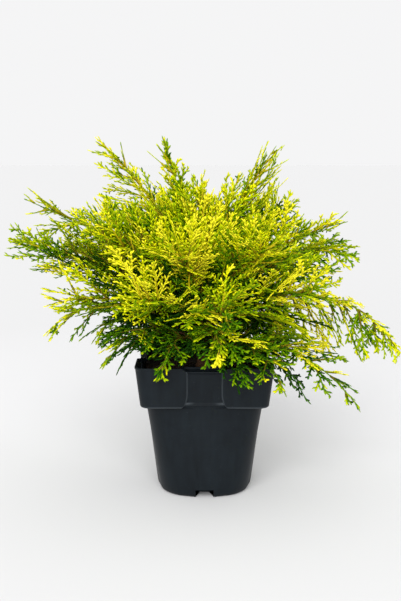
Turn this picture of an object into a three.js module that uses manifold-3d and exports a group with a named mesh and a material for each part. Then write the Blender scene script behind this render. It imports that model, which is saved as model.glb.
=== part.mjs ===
// A young dwarf hinoki cypress growing in a square-topped, round-footed nursery pot.
// Millimetres, +Z up. The origin is the centre of the pot's flat underside.
import * as THREE from 'three';
import { mergeVertices } from 'three/addons/utils/BufferGeometryUtils.js';
import Module from 'manifold-3d';

const wasm = await Module();
wasm.setup();

// ---- driving dimensions -----------------------------------------------------------------

const fitGap = 0.3; // clearance kept between neighbouring solids

const pot = {
  height: 132,
  rimHalf: 65, // half the square rim, across the flats
  rimCorner: 10,
  collarHeight: 39.6,
  collarFootHalf: 60.5, // the collar tapers down to this
  bodyHalf: 57.2, // the body just under the collar
  bodyCorner: 20,
  bodyRoundness: 0.17, // 0 is a square with rounded corners and 1 is a circle
  waistRoundness: 0.4, // at half the body's height
  footHalf: 46.1,
  footRoundness: 0.8,
  footFillet: 5,
  wall: 1.9,
  floor: 2.2,
  panelHalf: 15.5, // half the recessed panel in the middle of each collar side
  panelInset: 2,
  panelEdge: 1,
  slotWidth: 17.4, // the four drainage slots in the foot
  slotHeight: 8.4,
  slotDepth: 14,
};

// The root ball has drawn a little away from the wall.
const soil = { top: 119, crownRadius: 40, shoulderDrop: 2, wallGap: 1.9 };

const trunk = {
  height: 95,
  footRadius: 6.6,
  tipRadius: 2.8,
  flare: 4.2, // extra radius at the soil, dying away over flareReach
  flareReach: 6,
  flareLobes: 5,
  lean: -7, // sideways travel of the tip
  bow: 3, // forward bow at mid height
  sides: 10,
  rings: 8,
};

const limb = {
  rootRadius: 1.9,
  boughTipRadius: 1.4,
  stemTipRadius: 0.9,
  bends: [0.3, 0.72], // where its two control points lie between start and tip
  sway: 0.16, // how far these may lie to the sides, as a share of the reach
  sides: 4,
  rings: 4,
};

// A flat spray of scale leaves, as one eight-faced blade.
const blade = {
  length: 44,
  width: 20,
  thickness: 1,
  widest: 0.5, // where along the length it is widest
  sunk: 1.4, // how far its foot is sunk into the twig
  broadness: [1.3, 0.6], // width of the blades at the foot and at the tip of a stem, as a share
  tipSize: 0.6, // the blades at the very tip of a limb are smaller
  tipAngle: 36, // between the last blade of a limb and the one at each side of it
  droop: 0.4, // part of the blades on the stems that lean down instead of up
  margin: 0.6, // a blade keeps this far inside the space of its mass
  tries: [1, 0.75, 0.55], // sizes tried until one fits
};

const twig = {
  first: 7, // distance of the first twig from the foot of its stem
  rootRadius: 1.3,
  tipRadius: 0.8,
  branchAngle: 46,
  angleRange: 14,
  rollRange: 24,
  tiltRange: 100, // how far the flat sprays of twigs and stems turn about their own length
  sideBladeAngle: 42, // the blade at the side of each twig, half way along it
  sideBladeSize: 0.9,
  margin: 1.4,
  tries: [1, 0.75, 0.55, 0.4],
};

const crownTop = 343; // no blade reaches higher

// The crown in four tiers. start: height on the trunk of the lowest limb, climb: how much
// higher each next limb starts, lift: rise of the limb's first control point over the straight
// line from start to tip, as a share of the reach, arch: that of its second control point, in
// millimetres, boughShare: part of the limb that is bare bough, twigLength: length of the twigs
// at the foot of a stem, twigSpacing: distance from one twig to the next along it, roll: how far
// the twigs are turned about the stem to either side of straight up. Each spray is [compass
// angle from +X, reach from the trunk, height of its tip, and where it differs from the tier
// its arch].
const tiers = [
  {
    name: 'crest', start: 192, climb: 5, lift: 0.16, arch: 8,
    boughShare: 0, twigLength: 22, twigSpacing: 21.5, roll: 75,
    colour: 0xc4cc2c,
    sprays: [[265, 44, 297], [58, 72, 306], [2, 68, 333], [168, 108, 338, 24], [200, 42, 342]],
  },
  {
    name: 'shoulder', start: 171, climb: 2.6, lift: 0.14, arch: 16,
    boughShare: 0.27, twigLength: 28, twigSpacing: 22.5, roll: 60,
    colour: 0xb9c42a,
    sprays: [
      [258, 114, 240], [303, 126, 250], [214, 130, 258], [345, 136, 264],
      [45, 142, 274], [112, 146, 280], [177, 174, 283, 4],
    ],
  },
  {
    name: 'spread', start: 148, climb: 2.2, lift: 0.16, arch: 24,
    boughShare: 0.25, twigLength: 30, twigSpacing: 22.5, roll: 74,
    colour: 0x8fae24,
    sprays: [
      [280, 122, 181], [205, 160, 190], [240, 136, 194], [318, 146, 200], [46, 160, 216],
      [90, 156, 218], [142, 170, 222], [14, 152, 240], [183, 186, 243, 12],
    ],
  },
  {
    name: 'skirt', start: 130, climb: 1.75, lift: 0.26, arch: 48,
    boughShare: 0.27, twigLength: 24, twigSpacing: 21.5, roll: 75,
    colour: 0x557f1d,
    sprays: [
      [338, 155, 92], [310, 113, 112], [243, 90, 126], [52, 134, 120], [115, 128, 126],
      [215, 114, 132], [152, 132, 132], [278, 98, 142], [186, 156, 153], [356, 190, 135, 84],
    ],
  },
];

// ---- shared geometry ----------------------------------------------------------------------

const up = new THREE.Vector3(0, 0, 1);
const radians = THREE.MathUtils.degToRad;
const mix = THREE.MathUtils.lerp;

// A number from 0 to 1 that is always the same for the same keys.
function chance(...keys) {
  let hash = 0x2f6e2b1;
  for (const key of keys) {
    hash = Math.imul(hash ^ (key + 1), 0x9e3779b1);
    hash ^= hash >>> 15;
    hash = Math.imul(hash, 0x85ebca6b);
    hash ^= hash >>> 13;
  }
  return (hash >>> 0) / 2 ** 32;
}

// The closed skin over a row of rings with equal point counts, each counter-clockwise as
// seen from the last ring. A ring of one point closes that end to a tip.
function loft(rings) {
  const count = Math.max(...rings.map((ring) => ring.length));
  const positions = rings.flat().flatMap((point) => [point.x, point.y, point.z]);
  const starts = [];
  rings.reduce((total, ring) => (starts.push(total), total + ring.length), 0);
  const at = (ring, j) => starts[ring] + (j % rings[ring].length);
  const faces = [];
  for (let ring = 0; ring + 1 < rings.length; ring++) {
    for (let j = 0; j < count; j++) {
      if (rings[ring].length > 1) faces.push(at(ring, j), at(ring, j + 1), at(ring + 1, j + 1));
      if (rings[ring + 1].length > 1) faces.push(at(ring, j), at(ring + 1, j + 1), at(ring + 1, j));
    }
  }
  const last = rings.length - 1;
  for (let j = 1; j + 1 < count; j++) {
    if (rings[0].length > 1) faces.push(at(0, 0), at(0, j + 1), at(0, j));
    if (rings[last].length > 1) faces.push(at(last, 0), at(last, j), at(last, j + 1));
  }
  const geometry = new THREE.BufferGeometry();
  geometry.setAttribute('position', new THREE.Float32BufferAttribute(positions, 3));
  geometry.setIndex(faces);
  return geometry;
}

function toSolid(geometry) {
  const bare = geometry.clone();
  bare.deleteAttribute('normal');
  bare.deleteAttribute('uv');
  const merged = mergeVertices(bare, 1e-4);
  return new wasm.Manifold(new wasm.Mesh({
    numProp: 3,
    vertProperties: new Float32Array(merged.attributes.position.array),
    triVerts: new Uint32Array(merged.index.array),
  }));
}

// The biggest piece of a solid: loose scraps and the walls of sealed hollows are dropped.
function wholePiece(solid) {
  const pieces = solid.decompose().sort((a, b) => b.volume() - a.volume());
  return pieces[0];
}

function toMesh(name, solid, colour, roughness = 0.8) {
  const { vertProperties, triVerts } = wholePiece(solid).getMesh();
  const geometry = new THREE.BufferGeometry();
  geometry.setAttribute('position', new THREE.Float32BufferAttribute(vertProperties, 3));
  geometry.setIndex(new THREE.Uint32BufferAttribute(triVerts, 1));
  geometry.computeVertexNormals();
  const material = new THREE.MeshStandardMaterial({ color: colour, roughness, metalness: 0 });
  const mesh = new THREE.Mesh(geometry, material);
  mesh.name = name;
  return mesh;
}

function box(width, depth, height, x, y, z) {
  return toSolid(new THREE.BoxGeometry(width, depth, height).translate(x, y, z));
}

// Two axes square to a direction, the first level and the second over it, turned by tilt.
function axesAbout(direction, tilt = 0) {
  const side = new THREE.Vector3().crossVectors(direction, up);
  if (side.length() < 0.05) side.set(0, 1, 0);
  side.normalize().applyAxisAngle(direction, tilt);
  const over = new THREE.Vector3().crossVectors(side, direction).normalize();
  return { side, over };
}

// A ring of points about a place, square to its direction and turning counter-clockwise.
function crossSection(place, direction, sides, halfWidth, halfHeight = halfWidth, tilt = 0) {
  const { side, over } = axesAbout(direction, tilt);
  return Array.from({ length: sides }, (_, j) => {
    const angle = (2 * Math.PI * j) / sides;
    return place.clone()
      .addScaledVector(over, halfHeight * Math.cos(angle))
      .addScaledVector(side, halfWidth * Math.sin(angle));
  });
}

// ---- pot and soil -----------------------------------------------------------------------------

// One level of the pot: a rounded square, drawn towards a circle by roundness, with the
// panel in the middle of each side set in by inset.
function potLevel(z, half, corner, inset = 0, roundness = 0) {
  const arc = (angle) => [
    half - corner + corner * Math.cos(radians(angle)),
    half - corner + corner * Math.sin(radians(angle)),
  ];
  const { panelHalf, panelEdge } = pot;
  const side = [
    [half, -panelHalf],
    [half - inset, panelEdge - panelHalf],
    [half - inset, panelHalf - panelEdge],
    [half, panelHalf],
    ...[0, 30, 60, 90].map(arc),
  ];
  return [0, 90, 180, 270].flatMap((turn) => side.map(([x, y]) => {
    const flat = new THREE.Vector2(x, y);
    const round = flat.clone().setLength(half);
    flat.lerp(round, roundness).rotateAround(new THREE.Vector2(), radians(turn));
    return new THREE.Vector3(flat.x, flat.y, z);
  }));
}

// One level of the body's outer face, at a share of its height, drawn in by a distance.
function bodyLevel(share, draw = 0) {
  const { bodyRoundness, waistRoundness, footRoundness } = pot;
  const roundness = share < 0.5
    ? mix(footRoundness, waistRoundness, 2 * share)
    : mix(waistRoundness, bodyRoundness, 2 * share - 1);
  const half = mix(pot.footHalf, pot.bodyHalf, share) - draw;
  return potLevel(share * (pot.height - pot.collarHeight), half, pot.bodyCorner - draw, 0, roundness);
}

// The levels of the pot's inner face, drawn in by a clearance.
function innerLevel(z, clearance = 0) {
  const collarFoot = pot.height - pot.collarHeight;
  const draw = pot.wall + clearance;
  if (z <= collarFoot + pot.wall) return bodyLevel(z / collarFoot, draw);
  const share = (z - collarFoot) / pot.collarHeight;
  const half = mix(pot.collarFootHalf, pot.rimHalf, share) - draw;
  return potLevel(z, half, pot.rimCorner - draw, pot.panelInset);
}

function buildPot() {
  const { height, rimHalf, rimCorner, footHalf, footFillet, bodyCorner, panelInset } = pot;
  const collarFoot = height - pot.collarHeight;
  const lip = 0.8; // the rim's rounded edge
  const footLevel = (z, draw) => potLevel(z, footHalf - draw, bodyCorner, 0, pot.footRoundness);
  const shell = toSolid(loft([
    footLevel(0, 0.65 * footFillet),
    footLevel(0.3 * footFillet, 0.15 * footFillet),
    bodyLevel(footFillet / collarFoot),
    bodyLevel(0.5),
    bodyLevel(1),
    potLevel(collarFoot, pot.collarFootHalf, rimCorner, panelInset),
    potLevel(height - lip, rimHalf, rimCorner, panelInset),
    potLevel(height, rimHalf - lip, rimCorner - lip, panelInset),
    innerLevel(height),
    innerLevel(collarFoot + 2 * pot.wall),
    innerLevel(collarFoot + pot.wall),
    innerLevel(collarFoot / 2),
    innerLevel(footFillet),
    footLevel(pot.floor, 0.7 * footFillet),
  ]));
  const slots = drainageBoxes(0, pot.slotHeight, -1);
  const hoods = drainageBoxes(pot.wall, pot.slotHeight + pot.wall, pot.floor / 2);
  const wallBand = toSolid(loft([
    innerLevel(pot.floor / 2, -pot.wall / 2),
    innerLevel(collarFoot / 2, -pot.wall / 2),
  ]));
  return shell.add(hoods.intersect(wallBand)).subtract(slots);
}

// Boxes over the four drainage slots, widened by a margin, from one height up to another.
function drainageBoxes(margin, top, bottom) {
  const inner = pot.footHalf - pot.slotDepth - margin;
  const outer = pot.footHalf + 6;
  const length = outer - inner;
  const middle = (outer + inner) / 2;
  const width = pot.slotWidth + 2 * margin;
  const [tall, centre] = [top - bottom, (top + bottom) / 2];
  return wasm.Manifold.union([1, -1].flatMap((way) => [
    box(length, width, tall, way * middle, 0, centre),
    box(width, length, tall, 0, way * middle, centre),
  ]));
}

function buildSoil() {
  const collarFoot = pot.height - pot.collarHeight;
  const { top, crownRadius, shoulderDrop, wallGap } = soil;
  const bottomHalf = pot.footHalf - 0.7 * pot.footFillet - wallGap;
  const column = toSolid(loft([
    potLevel(pot.floor + fitGap, bottomHalf, pot.bodyCorner, 0, pot.footRoundness),
    innerLevel(pot.footFillet + fitGap, wallGap),
    innerLevel(collarFoot / 2, wallGap),
    innerLevel(collarFoot + pot.wall, wallGap),
    innerLevel(collarFoot + 2 * pot.wall + wallGap, wallGap),
    innerLevel(top - shoulderDrop, wallGap),
    potLevel(top, crownRadius, pot.bodyCorner, 0, 1),
  ]));
  return column.subtract(drainageBoxes(pot.wall + fitGap, pot.slotHeight + pot.wall + fitGap, 0));
}

// ---- trunk ----------------------------------------------------------------------------------------

const trunkFoot = soil.top + fitGap;

function trunkPlace(height) {
  const share = (height - trunkFoot) / trunk.height;
  return new THREE.Vector3(trunk.lean * share ** 1.5, -trunk.bow * Math.sin(Math.PI * share), height);
}

function trunkRadius(height, angle = Math.PI / trunk.flareLobes) {
  const share = (height - trunkFoot) / trunk.height;
  const flare = Math.exp((trunkFoot - height) / trunk.flareReach);
  const lobe = 0.5 + 0.5 * Math.cos(trunk.flareLobes * angle);
  return mix(trunk.footRadius, trunk.tipRadius, share) + trunk.flare * flare * (0.4 + 0.6 * lobe);
}

function trunkSolid(swell) {
  const rings = Array.from({ length: trunk.rings + 1 }, (_, i) => {
    const height = trunkFoot + trunk.height * (i / trunk.rings) ** 1.4;
    return Array.from({ length: trunk.sides }, (_, j) => {
      const angle = (2 * Math.PI * j) / trunk.sides;
      const radius = trunkRadius(height, angle) + swell;
      const reach = new THREE.Vector3(Math.cos(angle), Math.sin(angle), 0).multiplyScalar(radius);
      return trunkPlace(height).add(reach);
    });
  });
  rings[0].forEach((point) => { point.z -= swell; });
  rings.at(-1).forEach((point) => { point.z += swell; });
  return toSolid(loft(rings));
}

// ---- limbs ------------------------------------------------------------------------------------------

// Every spray's limb is one curve from the trunk to its furthest tip. Its first part is the
// bough and the rest is the stem of the foliage mass.
function growLimb(tier, tierIndex, index) {
  const [compass, reach, tipHeight, arch = tier.arch] = tier.sprays[index];
  const outward = new THREE.Vector3(Math.cos(radians(compass)), Math.sin(radians(compass)), 0);
  const across = new THREE.Vector3(-outward.y, outward.x, 0);
  const start = trunkPlace(tier.start + tier.climb * index);
  const tip = outward.clone().multiplyScalar(reach).setZ(tipHeight);
  const sway = reach * limb.sway * (chance(tierIndex, index, 1) - 0.5);
  const first = start.clone().lerp(tip, limb.bends[0]).addScaledVector(across, sway);
  const second = start.clone().lerp(tip, limb.bends[1]).addScaledVector(across, -sway);
  first.z += tier.lift * reach;
  second.z += arch;
  const curve = new THREE.CubicBezierCurve3(start, first, second, tip);
  return {
    tier, tierIndex, index, curve, reach, outward,
    label: `${tier.name}_${index + 1}`,
    length: curve.getLength(),
    line: curve.getSpacedPoints(24),
  };
}

const limbs = tiers.flatMap((tier, tierIndex) => (
  tier.sprays.map((spray, index) => growLimb(tier, tierIndex, index))
));

function limbRadius(limbData, along) {
  const { boughShare } = limbData.tier;
  if (along < boughShare) return mix(limb.rootRadius, limb.boughTipRadius, along / boughShare);
  return mix(limb.boughTipRadius, limb.stemTipRadius, (along - boughShare) / (1 - boughShare));
}

// The rings of a limb between two parts of its length, as a tapering four-sided rod.
function limbRings(limbData, from, to) {
  return Array.from({ length: limb.rings + 1 }, (_, i) => {
    const along = mix(from, to, i / limb.rings);
    const { curve } = limbData;
    const radius = limbRadius(limbData, along);
    return crossSection(curve.getPointAt(along), curve.getTangentAt(along), limb.sides, radius);
  });
}

// ---- the space of each mass -------------------------------------------------------------------------

const nearest = new THREE.Vector3();
const stretch = new THREE.Line3();

function distanceTo(line, point) {
  let least = Infinity;
  for (let i = 0; i + 1 < line.length; i++) {
    stretch.set(line[i], line[i + 1]).closestPointToPoint(point, true, nearest);
    least = Math.min(least, nearest.distanceTo(point));
  }
  return least;
}

const trunkLine = [0, 0.25, 0.5, 0.75, 1].map((share) => trunkPlace(trunkFoot + trunk.height * share));

// True where a point lies nearer its own limb than any other, clear of trunk, boughs and pot,
// and no further out or higher up than the furthest tips of the crown.
function inOwnSpace(limbData, point, margin) {
  if (point.z > crownTop || point.dot(limbData.outward) > limbData.reach) return false;
  const rimClear = pot.rimHalf + margin + 1;
  const overPot = Math.max(Math.abs(point.x), Math.abs(point.y)) < rimClear;
  if (overPot && point.z < pot.height + margin + 1) return false;
  if (distanceTo(trunkLine, point) < trunkRadius(point.z) + margin + 1) return false;
  const own = distanceTo(limbData.line, point);
  return limbs.every((other) => other === limbData || distanceTo(other.line, point) > own + 2 * margin);
}

// The bare bough below a mass, so that nothing of the mass grows back onto it.
function clearOfBough(limbData, point, margin) {
  const { boughShare } = limbData.tier;
  if (boughShare === 0) return true;
  const bough = limbData.line.slice(0, Math.ceil(boughShare * 24) + 1);
  return distanceTo(bough, point) > limb.rootRadius + margin;
}

// ---- foliage masses ---------------------------------------------------------------------------------

// True where every one of the points lies in the space of its mass, by a margin.
function fits(limbData, points, margin) {
  return points.every((point) => (
    inOwnSpace(limbData, point, margin) && clearOfBough(limbData, point, margin)
  ));
}

// The widest ring and the tip of a blade that grows at a share of the stem's length. Its
// sides are the ring's number of corners.
function bladeRings(root, direction, tilt, size, sides, stemShare) {
  const middle = root.clone().addScaledVector(direction, blade.widest * blade.length * size);
  const tip = root.clone().addScaledVector(direction, blade.length * size);
  const halfWidth = (blade.width * size * mix(...blade.broadness, stemShare)) / 2;
  const belt = crossSection(middle, direction, sides, halfWidth, blade.thickness / 2, tilt);
  return { belt, tip, points: [...belt, tip, middle.lerp(tip, 0.5)] };
}

// A blade that grows straight on a stem or twig, tried smaller until it fits into the space
// of its mass, and otherwise left out.
function growBlade(limbData, root, direction, tilt, size, stemShare) {
  const foot = root.clone().addScaledVector(direction, -blade.sunk);
  const grown = blade.tries
    .map((share) => bladeRings(foot, direction, tilt, size * share, 4, stemShare))
    .find(({ points }) => fits(limbData, points, blade.margin));
  return grown ? [toSolid(loft([[foot], grown.belt, [grown.tip]]))] : [];
}

// A twig leaves the stem, turned by roll about it: a three-sided rod that widens into a blade,
// with another blade to its side. It is tried shorter until it fits, and otherwise left out.
function growTwig(limbData, number, along) {
  const { tier, tierIndex, index, curve } = limbData;
  const draw = (what) => chance(tierIndex, index, number, what);
  const root = curve.getPointAt(along);
  const forward = curve.getTangentAt(along);
  const hand = number % 2 ? 1 : -1;
  const turn = tier.roll * (number % 3 === 2 ? 0.4 : 1); // every third twig stands steeper
  const roll = radians(turn + twig.rollRange * (draw(1) - 0.5)) * hand;
  const { side, over } = axesAbout(forward);
  const angle = radians(twig.branchAngle + twig.angleRange * (draw(2) - 0.5));
  const direction = forward.clone().multiplyScalar(Math.cos(angle))
    .addScaledVector(side, Math.sin(angle) * Math.sin(roll))
    .addScaledVector(over, Math.sin(angle) * Math.cos(roll));
  const stemShare = (along - tier.boughShare) / (1 - tier.boughShare);
  const fullLength = tier.twigLength * (1.12 - 0.6 * stemShare) * (0.8 + 0.4 * draw(3));
  const fullSize = (0.82 + 0.36 * draw(4)) * mix(1, 0.75, stemShare);
  const tilt = radians(twig.tiltRange * (draw(5) - 0.5));
  const place = (distance) => root.clone().addScaledVector(direction, distance);
  const grown = twig.tries
    .map((share) => {
      const rod = fullLength * share;
      const size = fullSize * mix(share, 1, 0.3);
      const rodPoints = [0.4, 0.7, 1].map((part) => place(rod * part));
      return { rod, rodPoints, ...bladeRings(place(rod), direction, tilt, size, 3, stemShare) };
    })
    .find(({ rodPoints, points }) => (
      fits(limbData, rodPoints, twig.margin) && fits(limbData, points, blade.margin)
    ));
  if (!grown) return [];
  const solid = toSolid(loft([
    crossSection(root, direction, 3, twig.rootRadius, twig.rootRadius, tilt),
    crossSection(place(grown.rod), direction, 3, twig.tipRadius, twig.tipRadius, tilt),
    grown.belt,
    [grown.tip],
  ]));
  const sideTurn = radians(-twig.sideBladeAngle * hand);
  const heading = direction.clone().applyAxisAngle(axesAbout(direction).over, sideTurn);
  const sideTilt = radians(twig.tiltRange * (draw(6) - 0.5));
  const sideSize = twig.sideBladeSize * fullSize;
  const sideRoot = place(0.5 * grown.rod);
  return [solid, ...growBlade(limbData, sideRoot, heading, sideTilt, sideSize, stemShare)];
}

// A blade that grows straight on the stem, opposite a twig.
function growStemBlade(limbData, number, along) {
  const { tier, tierIndex, index, curve } = limbData;
  const stemShare = (along - tier.boughShare) / (1 - tier.boughShare);
  const draw = (what) => chance(tierIndex, index, number, what);
  const forward = curve.getTangentAt(along);
  const hand = number % 2 ? -1 : 1;
  const { side } = axesAbout(forward);
  const heading = forward.clone().multiplyScalar(0.7).addScaledVector(side, 0.7 * hand);
  heading.z += 0.5 * (draw(30) - blade.droop);
  const tilt = radians(twig.tiltRange * (draw(31) - 0.5));
  const size = 0.75 + 0.3 * draw(32);
  return growBlade(limbData, curve.getPointAt(along), heading.normalize(), tilt, size, stemShare);
}

function growMass(limbData, trunkSwollen) {
  const { tier, tierIndex, index, curve, length } = limbData;
  const foot = tier.boughShare + (tier.boughShare ? fitGap / length : 0);
  const stemEnd = 1 - (blade.tipSize * blade.length) / length;
  const end = curve.getPointAt(stemEnd);
  const heading = curve.getPointAt(1).sub(end).normalize();
  const last = bladeRings(end, heading, 0, blade.tipSize, limb.sides, 1);
  const stem = toSolid(loft([...limbRings(limbData, foot, stemEnd), last.belt, [last.tip]]));
  const parts = [tier.boughShare ? stem : wholePiece(stem.subtract(trunkSwollen))];
  const stemLength = length * (stemEnd - tier.boughShare);
  const count = Math.round((stemLength - twig.first) / tier.twigSpacing);
  for (let number = 0; number < count; number++) {
    const distance = twig.first + (stemLength - twig.first) * (number + 0.4) / count;
    const along = tier.boughShare + distance / length;
    parts.push(...growTwig(limbData, number, along));
    parts.push(...growStemBlade(limbData, number, along + 0.2 * twig.first / length));
  }
  for (const turn of [blade.tipAngle, -blade.tipAngle]) {
    const direction = heading.clone().applyAxisAngle(up, radians(turn));
    const tilt = radians(70 * (chance(tierIndex, index, 900, turn + 50) - 0.5));
    parts.push(...growBlade(limbData, end, direction, tilt, blade.tipSize, 1));
  }
  return wasm.Manifold.union(parts);
}

// ---- the plant ------------------------------------------------------------------------------------------

const plant = new THREE.Group();
plant.add(toMesh('pot', buildPot(), 0x2a2d31, 0.55));
plant.add(toMesh('soil', buildSoil(), 0x2b2019, 0.95));
plant.add(toMesh('trunk', trunkSolid(0), 0x6b4a33, 0.9));

const trunkSwollen = trunkSolid(fitGap);
for (const limbData of limbs) {
  const { tier, label } = limbData;
  if (tier.boughShare > 0) {
    const bough = toSolid(loft(limbRings(limbData, 0, tier.boughShare))).subtract(trunkSwollen);
    plant.add(toMesh(`bough_${label}`, bough, 0x7a5636, 0.9));
  }
  plant.add(toMesh(`foliage_${label}`, growMass(limbData, trunkSwollen), tier.colour, 0.7));
}

export default plant;
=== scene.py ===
import math

import bmesh
import bpy
import numpy as np
from mathutils import Matrix, Vector, noise


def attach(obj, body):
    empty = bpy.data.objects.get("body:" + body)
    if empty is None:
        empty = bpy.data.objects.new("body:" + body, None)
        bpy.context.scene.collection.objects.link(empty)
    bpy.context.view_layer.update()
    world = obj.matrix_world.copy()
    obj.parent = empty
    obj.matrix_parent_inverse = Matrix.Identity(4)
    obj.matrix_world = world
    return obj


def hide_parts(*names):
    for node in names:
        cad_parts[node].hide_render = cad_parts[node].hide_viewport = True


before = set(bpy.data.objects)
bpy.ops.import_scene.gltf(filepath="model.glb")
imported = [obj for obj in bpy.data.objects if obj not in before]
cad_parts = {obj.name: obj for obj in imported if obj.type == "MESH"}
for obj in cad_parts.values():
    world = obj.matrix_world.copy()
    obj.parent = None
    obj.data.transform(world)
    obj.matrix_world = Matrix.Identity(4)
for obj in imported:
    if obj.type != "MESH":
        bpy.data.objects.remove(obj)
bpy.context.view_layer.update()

# ---- The pot --------------------------------------------------------------------------------
# A nursery pot moulded thin in matt anthracite plastic, 130 mm across its square rim. Corner
# shields stand proud of the collar with a sunk panel between each two, and the body below runs
# down to a round foot that is notched by four drainage slots.
pot_height = 132.0
rim_half = 65.1
rim_corner = 10.0
collar_foot = 92.4
collar_foot_half = 60.3
collar_top_half = 64.5
collar_rise = 37.0
body_half = 57.2
body_corner = 20.0
foot_half = 46.1
pot_wall = 1.9
panel_half = 15.5
panel_sunk = 2.0
panel_lift = 3.0
rim_step = 4.5
floor_half = 29.0
shield_round = 6.5
shield_sweep = 16.0
slot_half = 8.7
slot_height = 8.4
slot_depth = 14.0


def pot_outline(height, half, corner, roundness=0.0, sunk=0.0, middle=panel_half, lift=0.0):
    """The points of one level: a rounded square, drawn towards a circle. The middle of each side
    is sunk and lifted, with a rounded edge where it is a panel and a sharp one where a slot."""
    edge = 1.0 if sunk < slot_depth else 0.2
    step = [(-1.6, 0.0), (-0.9, 0.07), (-0.35, 0.28), (0.0, 0.6), (0.25, 0.9), (0.6, 1.0)]
    side = [(half, edge * past - middle, share) for past, share in step]
    side += [(half, middle * share, 1.0) for share in (-0.5, 0.0, 0.5)]
    side += [(half, middle - edge * past, share) for past, share in reversed(step)]
    for degrees in range(0, 91, 9):
        turn = math.radians(degrees)
        reach = half - corner
        side.append((reach + corner * math.cos(turn), reach + corner * math.sin(turn), 0.0))
    points = []
    for quarter in range(4):
        turn = math.radians(90 * quarter)
        for x, y, share in side:
            flat = Vector((x, y)).lerp(Vector((x, y)).normalized() * half, roundness)
            flat.x -= sunk * share
            points.append(
                (
                    flat.x * math.cos(turn) - flat.y * math.sin(turn),
                    flat.x * math.sin(turn) + flat.y * math.cos(turn),
                    height + lift * share,
                )
            )
    return points


def first_row(bm, points):
    """A closed row of vertices at these points."""
    row = bmesh.ops.create_circle(bm, segments=len(points), radius=1.0)["verts"]
    for vert, point in zip(row, points):
        vert.co = point
    return row


def next_row(bm, row, points):
    """Extrudes a closed row of vertices and moves the new row to its own points."""
    edges = [bm.edges.get(pair) for pair in zip(row, row[1:] + row[:1])]
    made = bmesh.ops.extrude_edge_only(bm, edges=edges)["geom"]
    fresh = {part for part in made if isinstance(part, bmesh.types.BMVert)}
    grown = []
    for vert, point in zip(row, points):
        twin = next(e.other_vert(vert) for e in vert.link_edges if e.other_vert(vert) in fresh)
        twin.co = point
        grown.append(twin)
    return grown


def skin(bm, levels):
    """The closed skin over a stack of levels, with a face over each end."""
    row = first_row(bm, levels[0])
    bmesh.ops.contextual_create(bm, geom=row)
    for points in levels[1:]:
        row = next_row(bm, row, points)
    bmesh.ops.contextual_create(bm, geom=row)


def add_piece(bm, name, material, flat_above=35):
    """Makes an object of a mesh that was built in millimetres, riding on the plant's body."""
    bmesh.ops.remove_doubles(bm, verts=bm.verts, dist=1e-4)
    bmesh.ops.recalc_face_normals(bm, faces=bm.faces)
    bmesh.ops.scale(bm, vec=(0.001, 0.001, 0.001), verts=bm.verts)
    mesh = bpy.data.meshes.new(name)
    bm.to_mesh(mesh)
    bm.free()
    mesh.shade_smooth()
    mesh.set_sharp_from_angle(angle=math.radians(flat_above))
    mesh.materials.append(material)
    piece = bpy.data.objects.new(name, mesh)
    bpy.context.scene.collection.objects.link(piece)
    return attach(piece, "root")


def mix(a, b, share):
    return a + (b - a) * share


def collar_half(height):
    return mix(collar_foot_half, collar_top_half, (height - collar_foot) / collar_rise)


def panel_at(height):
    """Half the sunk panel's width, which widens where the shields' corners are rounded."""
    low = 1 - (height - collar_foot) / shield_sweep
    high = 1 - (pot_height - height) / shield_round
    past = min(max(low, high, 0.0), 1.0)
    return panel_half + shield_round * (1 - math.sqrt(1 - past**2))


def body_level(height, draw, sunk=0.0):
    """A level of the pot's body, which turns from round at the foot to square at the collar."""
    share = height / collar_foot
    half = mix(foot_half, body_half, share) - draw
    return pot_outline(height, half, body_corner - draw, 0.8 - 0.63 * share**0.67, sunk, slot_half)


def collar_level(height, draw=0.0, out=0.0, lift=0.0):
    """A level of the collar, whose panels stand out or in by their own distance."""
    half = collar_half(height) - draw
    panel = collar_half(height + lift) - panel_sunk + out
    return pot_outline(height, half, rim_corner, 0, half - panel, panel_at(height), lift)


levels = []
for height, draw in [(0, 3.2), (0.6, 2.0), (1.5, 1.0), (3, 0.4), (5, 0.1), (slot_height, 0)]:
    levels.append(body_level(height, draw, slot_depth))
for step in range(11):
    levels.append(body_level(mix(slot_height, collar_foot, step / 10), 0))
for drop, draw, out, lift in [
    (0, 1.5, -1.1, 0.2), (0.1, 1.0, -1.05, panel_lift - 0.3), (0.4, 0.4, -0.2, panel_lift - 0.4),
    (1.0, 0.1, 0.25, panel_lift - 0.8), (1.5, 0, 0.4, panel_lift - 0.7),
    (2.4, 0, 0.2, panel_lift - 0.8), (3.6, 0, 0, panel_lift - 1.0),
]:
    levels.append(collar_level(collar_foot + drop, draw, out, lift))
for height in (98.6, 101, 103.5, 106, 108.6, 113, 118, 123, 125.4):
    levels.append(collar_level(height))
for height, out in [
    (126.1, 0), (126.4, -0.5), (126.8, 0.3), (127.5, 0.5), (128.2, 0.3), (128.6, -0.4),
    (128.75, -rim_step), (129.3, -rim_step),
]:
    levels.append(collar_level(height, 0, out))
for drop, draw in [
    (2.3, 0.5), (1.9, 0.15), (1.2, 0.0), (0.45, 0.05), (0.15, 0.35), (0, 0.75), (0, 1.2),
    (0.2, 1.6), (0.7, pot_wall),
]:
    height = pot_height - drop
    sunk = panel_sunk + rim_step
    levels.append(pot_outline(height, rim_half - draw, rim_corner, 0, sunk, panel_at(height)))
for height in (129.5, 127.8, 126.8, 112, 98.5, 96.2):
    half = collar_half(height) - pot_wall
    sunk = panel_sunk + (rim_step if height > 127 else 0)
    levels.append(pot_outline(height, half, rim_corner - pot_wall, 0, sunk, panel_at(height)))
for height in (94.3, 46, slot_height + 2.2):
    levels.append(body_level(height, pot_wall))
levels.append(pot_outline(slot_height + 1.6, floor_half, body_corner, 1, 0, slot_half))


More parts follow.
